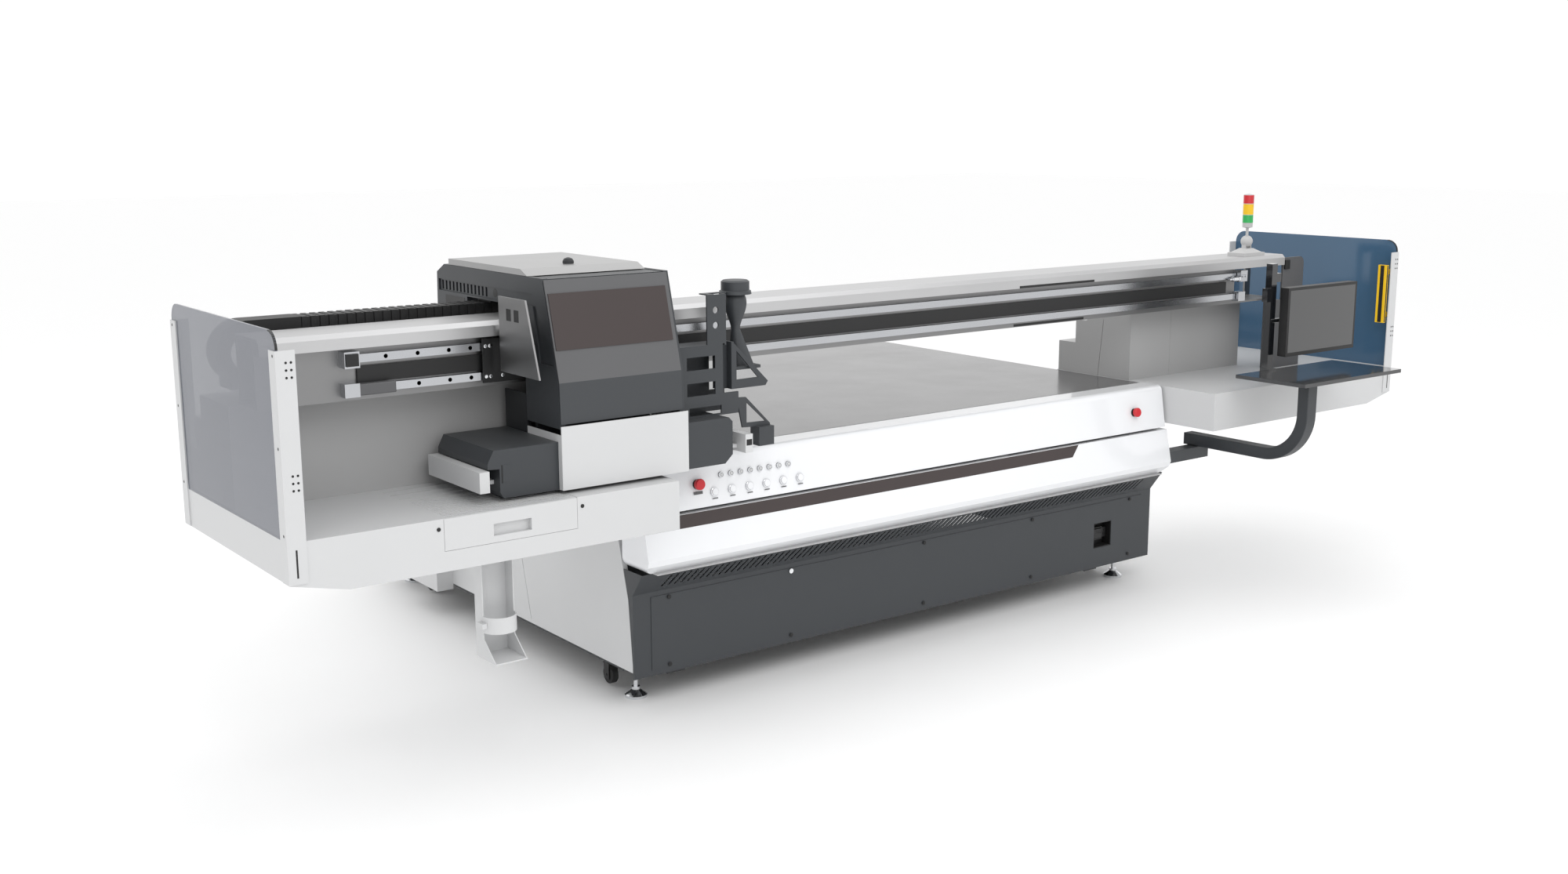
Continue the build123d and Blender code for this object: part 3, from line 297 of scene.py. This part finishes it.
# Controls. Red mushroom stops on black collars, bright-bezelled indicator lamps, white push
# buttons in bright rings and grey printed captions, all on the leaning face of the upper cover.
hood_grey = finish("hood_grey_coat", (0.098, 0.099, 0.103), 0.45, grain=0.2)
red = finish("red_moulding", (0.6, 0.02, 0.03), 0.3)
dress(black, "panel_fittings", edge=0.0005)
dress(red, "estop_left", "estop_right", edge=0.0)
dress(white, "vacuum_button", "head_up_button", "head_down_button", "light_button",
      "reset_button", "start_button", edge=0.0)
lean_top_z = high("control_cover").z - 0.004
lean_depth, lean_height = 0.029, 0.172
lean = math.atan(lean_depth / lean_height)
outward = Vector((0, -math.cos(lean), math.sin(lean)))
along_face = Vector((0, outward.z, -outward.y))


def on_cover(x, z):
    """A spot on the plane of the rings and captions, 3 mm in front of the leaning face."""
    return Vector((x, panel_low.y - 0.034 - (lean_top_z - z) * math.tan(lean), z))


button_z, lamp_z, caption_z = 0.727, 0.780, 0.732
button_pitch, lamp_pitch = 0.0724, 0.0407
button_spots = [on_cover(lower.x + 0.294 + button_pitch * i, button_z) for i in range(6)]
lamp_spots = [on_cover(lower.x + 0.326 + lamp_pitch * i, lamp_z) for i in range(8)]
turned("button_rings", button_spots, outward,
       [(0.0, 0.0155), (0.002, 0.0155), (0.003, 0.0125), (0.0, 0.0125)], chrome, "bed")
turned("lamp_rings", lamp_spots, outward,
       [(0.0, 0.0094), (0.0054, 0.0094), (0.0056, 0.0068), (0.0, 0.0068)], chrome, "bed")
turned("lamp_lenses", lamp_spots, outward,
       [(0.005, 0.0062), (0.0068, 0.005), (0.0074, 0.002)], pale, "bed", sides=18)


def caption(name, spot, width, height):
    """A printed bar that stands for a line of small lettering."""
    side = Vector((width / 2, 0, 0))
    rise = along_face * (height / 2)
    corners = [spot - side - rise, spot + side - rise, spot + side + rise, spot - side + rise]
    mesh_piece(name, [corner + outward * proud for corner in corners], [(0, 1, 2, 3)],
               hood_grey, "bed")


caption("stop_label", on_cover(lower.x + 0.228, caption_z), 0.036, 0.010)
for i, spot in enumerate(button_spots):
    caption("button_label_%d" % i, spot - along_face * 0.022, 0.022, 0.0035)


# Bed. A thick anodised plate, ground flat and glossy. A ground steel rail lies along each side
# of it, and the gantry's shoes ride on the rails. The operator's bent arm is bolted to the side.
def brushed(name, colour, roughness, along):
    """Metal with fine lines drawn out along one axis, as a rolled or ground face has."""
    drawn_out, close_set = 4.0, 700.0
    material = finish(name, colour, roughness, metal=1.0, grain=0.05, variation=0.1, dust=0.05)
    nodes, link = material.node_tree.nodes, material.node_tree.links.new
    place = nodes.new("ShaderNodeTexCoord")
    stretch = nodes.new("ShaderNodeMapping")
    stretch.inputs["Scale"].default_value = [drawn_out if axis == along else close_set
                                             for axis in range(3)]
    lines = nodes.new("ShaderNodeTexNoise")
    lines.inputs["Scale"].default_value = 1.0
    lines.inputs["Detail"].default_value = 3
    bump = nodes.new("ShaderNodeBump")
    bump.inputs["Strength"].default_value = 0.12
    bump.inputs["Distance"].default_value = 0.0003
    link(place.outputs["Object"], stretch.inputs["Vector"])
    link(stretch.outputs["Vector"], lines.inputs["Vector"])
    link(lines.outputs["Fac"], bump.inputs["Height"])
    link(bump.outputs["Normal"], nodes["Principled BSDF"].inputs["Normal"])
    return material


bed_grey = finish("bed_anodised", (0.1, 0.1, 0.102), 0.2, metal=0.3, grain=0.02,
                  gloss_coat=0.15)
steel = brushed("ground_steel", (0.5, 0.51, 0.53), 0.22, along=0)
dress(bed_grey, "bed_table", edge=0.001)
dress(steel, "gantry_rails", "gantry_shoes", edge=0.0006)
dress(slate, "monitor_arm", edge=0.003)

# Operator's shelf and monitor on the bent arm: a glossy black sheet shelf, and a moulded black
# case around a sheet of dark glass.
gloss_black = finish("black_gloss_sheet", (0.008, 0.009, 0.011), 0.08, grain=0.01,
                     gloss_coat=0.8)
glass = finish("screen_glass", (0.02, 0.021, 0.022), 0.12, grain=0.0, gloss_coat=1.0)
dress(gloss_black, "monitor_tray", edge=0.0015)
dress(black, "monitor", edge=0.002)
case_low, case_high = low("monitor"), high("monitor")
bezel, chin = 0.012, 0.0156
glass_left, glass_right = case_low.x + bezel, case_high.x - bezel
glass_foot, glass_head = case_low.z + chin, case_high.z - bezel
glass_y = case_low.y - proud
mesh_piece("screen", [(glass_left, glass_y, glass_foot), (glass_right, glass_y, glass_foot),
                      (glass_right, glass_y, glass_head), (glass_left, glass_y, glass_head)],
           [(0, 1, 2, 3)], glass, "screen")

# Gantry wings and what stands on them: folded sheet in pale powder coat, walls painted a darker
# grey for the shade on them, and slotted angle posts with rows of punched holes at the corners.
# Painted shade: the uprights' walls are coloured a darker grey than the pale sheet for the shade
# they stand in.
wall_shade_grey = finish("wall_painted_shade", (0.4, 0.4, 0.4), 0.4, grain=0.15)
dress(pale, "wings", "corner_posts", edge=0.0015)
dress(wall_shade_grey, "uprights", edge=0.0015)
dress(hood_grey, "end_plates", edge=0.0015)
post_low, post_high = low("corner_posts"), high("corner_posts")
post_width = 0.050
front_posts = (post_low.x, post_high.x - post_width)
hole_pitch = 0.020
hole_columns = (0.028, 0.042)
hole_tops = (post_high.z - 0.032, post_high.z - 0.335)
# Painted shade: the punched holes are thin black discs standing for the dark openings.
holes = [(x + column, post_low.y, top - hole_pitch * k) for x in front_posts
         for top in hole_tops for column in hole_columns for k in range(3)]
turned("post_holes", holes, forward, [(0.0002, 0.0035), (0.0004, 0.0035)], black, "gantry",
       sides=14)
# Painted shade: the slots are thin black strips standing for the dark openings.
slabs("post_slots", [((x + 0.023, post_low.y - proud, post_low.z + 0.018),
                      (x + 0.028, post_low.y, post_low.z + 0.096)) for x in front_posts],
      black, "gantry")

# Purge drawer. A pale sheet tray with a ribbed drip grille in it, and a screw in the wing at
# each side of its front.
dress(pale, "purge_drawer", edge=0.0012)
dress(pale, "drip_grille", edge=0.0008)
wing_front = low("wings").y
drawer_screw_z = high("wings").z - 0.029
drawer_screws = [(low("purge_drawer").x - 0.017, wing_front, drawer_screw_z),
                 (high("purge_drawer").x + 0.018, wing_front, drawer_screw_z)]
turned("drawer_screws", drawer_screws, forward, [(0.0, 0.006), (0.0015, 0.006), (0.0025, 0.004)],
       black, "gantry", sides=16)


# Side guards. Tinted acrylic sheet, bluer and less clear towards the right, with a black trim
# over the rounded front corner and small black screws through the left one's posts.
def two_colours(material, axis, start, end, first, second):
    """Run a finish from one colour to another between two places along an axis."""
    nodes, link = material.node_tree.nodes, material.node_tree.links.new
    place = nodes.new("ShaderNodeTexCoord")
    parted = nodes.new("ShaderNodeSeparateXYZ")
    share = nodes.new("ShaderNodeMapRange")
    share.inputs["From Min"].default_value = start
    share.inputs["From Max"].default_value = end
    shade = nodes.new("ShaderNodeMix")
    shade.data_type = "RGBA"
    shade.inputs["A"].default_value = (*first, 1)
    shade.inputs["B"].default_value = (*second, 1)
    link(place.outputs["Object"], parted.inputs[0])
    link(parted.outputs[axis], share.inputs["Value"])
    link(share.outputs[0], shade.inputs["Factor"])
    skin = next(node for node in nodes if node.type == "GROUP")
    link(shade.outputs["Result"], skin.inputs["Colour"])
    return share.outputs[0]


acrylic = finish("blue_acrylic", (0.055, 0.125, 0.215), 0.12, grain=0.0, dust=0.0,
                 gloss_coat=0.4)
nearer_right = two_colours(acrylic, "X", -0.5, 0.5, (0.135, 0.148, 0.185), (0.05, 0.115, 0.2))
clouding = acrylic.node_tree.nodes.new("ShaderNodeMapRange")
clouding.inputs["To Min"].default_value = 0.76
clouding.inputs["To Max"].default_value = 0.97
acrylic.node_tree.links.new(nearer_right, clouding.inputs["Value"])
acrylic_alpha = acrylic.node_tree.nodes["Principled BSDF"].inputs["Alpha"]
acrylic.node_tree.links.new(clouding.outputs[0], acrylic_alpha)
dress(acrylic, "side_guards", edge=0.001)
guard_low, guard_high = low("side_guards"), high("side_guards")
guard_thickness, corner_radius, trim_width = 0.006, 0.050, 0.0035
trim_steps = 10
corner_y, corner_z = guard_low.y + corner_radius, guard_high.z - corner_radius
turns = [math.radians(90 / trim_steps * k) for k in range(trim_steps + 1)]
rim = [(corner_y - radius * math.sin(turn), corner_z + radius * math.cos(turn))
       for radius in (corner_radius + 0.0001, corner_radius - trim_width) for turn in turns]
arc, face = len(turns), len(rim)
for side, x in (("left", guard_low.x), ("right", guard_high.x - guard_thickness)):
    verts = [(x + dx, y, z) for dx in (-0.0003, guard_thickness + 0.0003) for y, z in rim]
    faces = []
    for k in range(trim_steps):
        a, b, c, d = k, k + 1, k + arc + 1, k + arc
        faces += [(a, b, c, d), (d + face, c + face, b + face, a + face),
                  (a, a + face, b + face, b), (d, c, c + face, d + face)]
    mesh_piece("guard_trim_" + side, verts, faces, black, "gantry")
leftward = (-1, 0, 0)
guard_screws = [(post_low.x, y, z) for y in (post_low.y + 0.018, post_high.y - 0.018)
                for z in (post_high.z - 0.014, post_high.z - 0.261, post_high.z - 0.498)]
turned("guard_screws", guard_screws, leftward, [(-0.001, 0.0045), (0.0002, 0.0044)], black,
       "gantry", sides=14)

# Beam. An aluminium box section with painted shade darkening the open front recess that holds
# two profile rails and, between them, the black band of the linear motor's track. The rails' ends
# have stops, bolts and a chromed shock absorber.
beam_low, beam_high = low("beam"), high("beam")
recess_top = beam_high.z - 0.0465
beam_metal = brushed("beam_extrusion", (0.5, 0.5, 0.505), 0.4, along=0)
# Painted shade: the beam is coloured darker below recess_top, where the front recess lies in
# shade, than above it.
two_colours(beam_metal, "Z", recess_top - 0.001, recess_top, (0.26, 0.26, 0.262),
            (0.55, 0.55, 0.555))
dress(beam_metal, "beam", edge=0.001)
dress(steel, "beam_rails", edge=0.0008)
dress(black, "motor_strip", edge=0.001)
dress(steel, "rail_stops", edge=0.001)
rail_low, rail_high = low("beam_rails"), high("beam_rails")
upper_bolt_z, lower_bolt_z = rail_high.z - 0.012, rail_low.z + 0.012
for row, z in (("upper", upper_bolt_z), ("lower", lower_bolt_z)):
    bolts = [(rail_low.x + step, rail_low.y, z) for step in (0.085, 0.185, 0.285, 0.355)]
    turned(row + "_rail_bolts", bolts, forward,
           [(0.0, 0.0065), (0.0001, 0.0062), (-0.004, 0.0045)], slate_dark, "gantry", sides=16)
stop_low, stop_high = low("rail_stops"), high("rail_stops")
slabs("stop_face", [((rail_low.x - 0.046, stop_low.y - 0.0006, stop_high.z - 0.042),
                     (rail_low.x - 0.009, stop_low.y + 0.004, stop_high.z - 0.006))],
      black, "gantry")
slabs("lower_rail_block", [((rail_low.x - 0.006, rail_low.y - 0.014, rail_low.z - 0.005),
                            (rail_low.x + 0.108, rail_low.y, rail_low.z + 0.029))],
      hood_grey, "gantry", edge=0.003)


def patches(name, spans, material, body, out=0.0006, edge=0.0):
    """Thin raised patches on faces that look forward: each has an x span, a y and a z span."""
    sunk = 0.0002
    slabs(name, [((x[0], y - out, z[0]), (x[1], y + sunk, z[1])) for x, y, z in spans],
          material, body, edge)


web_y = rail_low.y + 0.020
strip_right = beam_high.x - 1.247
patches("rail_guards", [((strip_right - 0.420, strip_right), beam_low.y,
                         (recess_top, recess_top + 0.009)),
                        ((strip_right - 0.403, strip_right - 0.007), web_y,
                         (beam_low.z + 0.0025, beam_low.z + 0.012))],
        black, "gantry", out=0.0012)
rightward = (1, 0, 0)
turned("shock_absorbers", [(rail_high.x - 0.062, rail_low.y - 0.013, rail_high.z - 0.024)],
       rightward, [(0.0, 0.0), (0.0, 0.005), (0.018, 0.005), (0.018, 0.0085), (0.024, 0.0085),
                   (0.024, 0.0105), (0.056, 0.0105), (0.056, 0.0135), (0.064, 0.0135),
                   (0.066, 0.009)], chrome, "gantry")
end_low, end_high = low("end_plates"), high("end_plates")
patches("plate_blocks", [((end_low.x + 0.086, end_low.x + 0.121), end_low.y,
                          (end_high.z - 0.052, end_high.z - 0.010))],
        black, "gantry", out=0.008, edge=0.002)
dress(black, "chain_trough", edge=0.0)

# Light curtain. A yellow moulded housing with dark optical strips let into its inner side and
# its front.
yellow = finish("yellow_housing", (0.87, 0.54, 0.01), 0.4)
dress(yellow, "light_curtain", edge=0.0008)
curtain_low, curtain_high = low("light_curtain"), high("light_curtain")
strip_foot, strip_head = curtain_low.z + 0.002, curtain_high.z - 0.002
slabs("curtain_window", [((curtain_low.x - 0.0006, curtain_low.y + 0.012, strip_foot),
                          (curtain_low.x + 0.001, curtain_low.y + 0.030, strip_head)),
                         ((curtain_low.x + 0.004, curtain_low.y - 0.0006, strip_foot),
                          (curtain_low.x + 0.012, curtain_low.y + 0.001, strip_head))],
      black, "gantry")

# Signal tower. Ribbed lenses stacked on a grey stem and a swivelling ball foot.
green = finish("green_lens", (0.03, 0.42, 0.1), 0.2)
dress(lip_grey, "signal_tower", edge=0.0008)
tower_top = high("signal_tower")
tower_mid = (low("signal_tower") + tower_top) / 2
upright = (0, 0, 1)
rib_height = 0.004
rib_radius, groove_radius = 0.0228, 0.0222
# Each lens lies between two depths below the tower's top.
for name, material, foot, head in (("red_lens", red, 0.042, 0.004),
                                   ("amber_lens", yellow, 0.090, 0.043),
                                   ("green_lens", green, 0.126, 0.091)):
    ribs = int((foot - head) / rib_height) + 1
    step = (foot - head) / ribs
    profile = []
    for k in range(ribs):
        profile += [(k * step, rib_radius), ((k + 0.5) * step, groove_radius)]
    turned(name, [(tower_mid.x, tower_mid.y, tower_top.z - foot)], upright, profile, material,
           "gantry", sides=40)

# Bottle holder. A folded sheet bracket that hangs under the left wing.
dress(pale, "bottle_holder", edge=0.001)

# Cable chain. Black moulded links: the upper run is fixed to the carriage, the lower run lies
# in the trough behind the beam, and the bend between them rolls at half the carriage's speed.
link_black = finish("chain_link_black", (0.006, 0.006, 0.0065), 0.5, dust=0.05)
run_low, run_high = low("chain_upper"), high("chain_upper")
loop_low, loop_high = low("chain_loop"), high("chain_loop")


def link_run(name, x, z, steps=24):
    """A straight run of box links with side lugs, between the two places in x and the two heights
    in z."""
    pitch = (x[1] - x[0]) / steps
    lug_share = 0.62  # how much of a link's length its lug covers
    boxes = []
    for k in range(steps):
        a = x[0] + k * pitch
        boxes.append(((a, run_low.y + 0.004, z[0] + 0.002),
                      (a + pitch, run_high.y - 0.004, z[1] - 0.002)))
        boxes.append(((a + 0.0015, run_low.y + 0.0005, z[0] + 0.0005),
                      (a + pitch * lug_share, run_high.y - 0.0005, z[1] - 0.0005)))
    run = slabs(name, boxes, link_black, None)
    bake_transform(run)
    return run


bend_x = loop_high.x + 0.001
upper_run = link_run("chain_upper_links", (bend_x, run_high.x), (run_low.z, run_high.z - 0.010))
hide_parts("chain_upper")
slabs("chain_bracket", [((run_high.x - 0.060, run_low.y, run_high.z - 0.012),
                         (run_high.x, run_high.y, run_high.z))], link_black, "carriage")
bend_mid = loop_low.x + 0.095
fixed_x = bend_mid + 1.480
link_run("chain_lower_links", (bend_mid, fixed_x), (loop_low.z, loop_low.z + 0.042),
         steps=44)
dress(link_black, "chain_loop", "chain_upper", edge=0.0)

# Carriage. A slate sheet frame on steel guide blocks, with a bare metal bracket plate at its left
# side and a wiper bolted over the rails. Its front hood is painted darker below a crease as shade
# and grey above, and holds a brown film panel; a satin lid with a turned knob closes the top.
lid_grey = finish("lid_satin", (0.36, 0.36, 0.36), 0.42)
plate_metal = brushed("bracket_plate", (0.3, 0.3, 0.302), 0.42, along=2)
wiper_back, wiper_front = rail_low.y - 0.003, rail_low.y - 0.009
slabs("rail_wiper", [((run_high.x - 0.215, wiper_front, rail_low.z - 0.008),
                      (run_high.x - 0.040, wiper_back, rail_high.z + 0.014))],
      black, "carriage", edge=0.001)
wiper_bolts = [(run_high.x - dx, wiper_front, z) for dx in (0.205, 0.190, 0.150)
               for z in (rail_high.z - 0.009, rail_low.z + 0.012)]
turned("wiper_bolts", wiper_bolts, forward, [(0.0, 0.0065), (0.004, 0.0062), (0.0046, 0.004)],
       chrome, "carriage", sides=16)
dress(slate, "carriage_frame", edge=0.0012)
dress(steel, "guide_blocks", edge=0.0006)
dress(plate_metal, "side_bracket", edge=0.0008)
crease_z = low("front_hood").z + 0.125
# Painted shade: the hood's upright face below the crease is coloured darker than its sloped face
# above.
hood_shade_paint = finish("hood_painted_shade", (0.1, 0.1, 0.1), 0.45, grain=0.2)
two_colours(hood_shade_paint, "Z", crease_z - 0.0005, crease_z + 0.0005, (0.042, 0.046, 0.051),
            (0.098, 0.099, 0.103))
dress(hood_shade_paint, "front_hood", edge=0.001)
plate_low, plate_high = low("side_bracket"), high("side_bracket")
window_foot, window_head = plate_high.z - 0.0705, plate_high.z - 0.0335
# Painted shade: the bracket plate's two windows are thin black slabs standing for the dark
# openings.
slabs("bracket_windows", [((plate_low.x + 0.0008, plate_low.y + y, window_foot),
                           (plate_low.x + 0.0016, plate_low.y + y + 0.032, window_head))
                          for y in (0.112, 0.160)], black, "carriage")
dress(brown, "badge_panel", edge=0.0008)
dress(lid_grey, "lid", edge=0.0015)
knob = (low("lid").x + 0.200, low("lid").y + 0.100, high("lid").z - 0.021)
turned("lid_knob", [knob], upright, [(0.0, 0.0155), (0.004, 0.0182), (0.011, 0.0175),
                                     (0.018, 0.0125), (0.0212, 0.004)], slate_dark,
       "carriage_lid")
side_low, side_high = low("carriage_frame"), high("carriage_frame")
# Painted shade: the cable hole in the frame's side is a thin black disc standing for the dark
# opening.
turned("side_cable_hole", [(side_low.x + 0.005, side_low.y + 0.398, side_high.z - 0.068)],
       leftward, [(0.0, 0.014), (0.0004, 0.014)], black, "carriage")
# Painted shade: the side window is a thin black patch standing for the dark opening.
slabs("side_cable_window", [((side_low.x - 0.0006, side_low.y + 0.603, side_high.z - 0.132),
                             (side_low.x + 0.0002, side_low.y + 0.743, side_high.z - 0.100))],
      black, "carriage")

# Lifting head. A dark head plate behind a pale folded shell, with a slate lamp at each side,
# the ladder bracket with its nozzle, and a sprung pale bumper at each end.
dress(slate, "left_uv_lamp", "right_uv_lamp", "riser_bracket", "ion_nozzle", edge=0.0012)
dress(slate_dark, "head_plate", edge=0.0008)
lamp_low = low("left_uv_lamp")
slot_span = (lamp_low.z + 0.046, lamp_low.z + 0.100)
patches("lamp_slot_plate", [((lamp_low.x + 0.048, lamp_low.x + 0.076), lamp_low.y, slot_span)],
        slate, "head", out=0.0008, edge=0.0003)
patches("lamp_slot", [((lamp_low.x + 0.044, lamp_low.x + 0.0475), lamp_low.y, slot_span)],
        black, "head")
bump_low, bump_high = low("right_bumper"), high("right_bumper")
# Painted shade: the bumper's slot is a thin black patch standing for the dark opening.
patches("bumper_slot", [((bump_high.x - 0.025, bump_high.x - 0.003), bump_low.y,
                         (bump_low.z + 0.024, bump_low.z + 0.044))], black, "bumper_right")
dress(pale, "head_shell", "left_bumper", "right_bumper", edge=0.0015)

# The pale workshop floor, and soft light from large panels overhead and in front.
scene = bpy.context.scene
floor_mesh = bpy.data.meshes.new("floor")
reach = 40.0
floor_mesh.from_pydata([(-reach, -reach, 0), (reach, -reach, 0), (reach, reach, 0),
                        (-reach, reach, 0)], [], [(0, 1, 2, 3)])
floor = bpy.data.objects.new("floor", floor_mesh)
scene.collection.objects.link(floor)
floor_mesh.materials.append(finish("pale_floor", (0.97, 0.97, 0.97), 0.6, dust=0.0,
                                   variation=0.01, grain=0.0))

world = bpy.data.worlds.new("studio")
world.use_nodes = True
sky = world.node_tree.nodes["Background"]
sky.inputs["Color"].default_value = (1, 1, 1, 1)
sky.inputs["Strength"].default_value = 1.02
scene.world = world


def panel_light(name, spot, aim, size, power):
    lamp = bpy.data.lights.new(name, "AREA")
    lamp.shape = "RECTANGLE"
    lamp.size, lamp.size_y = size
    lamp.energy = power
    lamp_object = bpy.data.objects.new(name, lamp)
    lamp_object.location = spot
    toward_aim = Vector(aim) - Vector(spot)
    lamp_object.rotation_euler = toward_aim.to_track_quat("-Z", "Y").to_euler()
    scene.collection.objects.link(lamp_object)


panel_light("key", (-1.5, -5.5, 5.0), (0.0, 0.0, 0.7), (5.0, 3.0), 95)
panel_light("top", (0.5, 0.5, 5.5), (0.0, 0.0, 0.8), (6.0, 4.0), 60)

# The camera stands to the left of the machine's front, a little above its top, and looks
# slightly down. Its tilt, roll and pan are in radians.
camera = bpy.data.objects.new("camera", bpy.data.cameras.new("camera"))
camera.data.sensor_width = 36.0
camera.data.lens = 36.91
camera.data.clip_end = 200.0
camera.location = (-4.004, -5.0814, 1.9468)
look_down, roll, pan = 0.1937, 0.0029, -0.6498
camera.rotation_euler = (math.pi / 2 - look_down, roll, pan)
scene.collection.objects.link(camera)
scene.camera = camera
scene.view_settings.view_transform = "Standard"
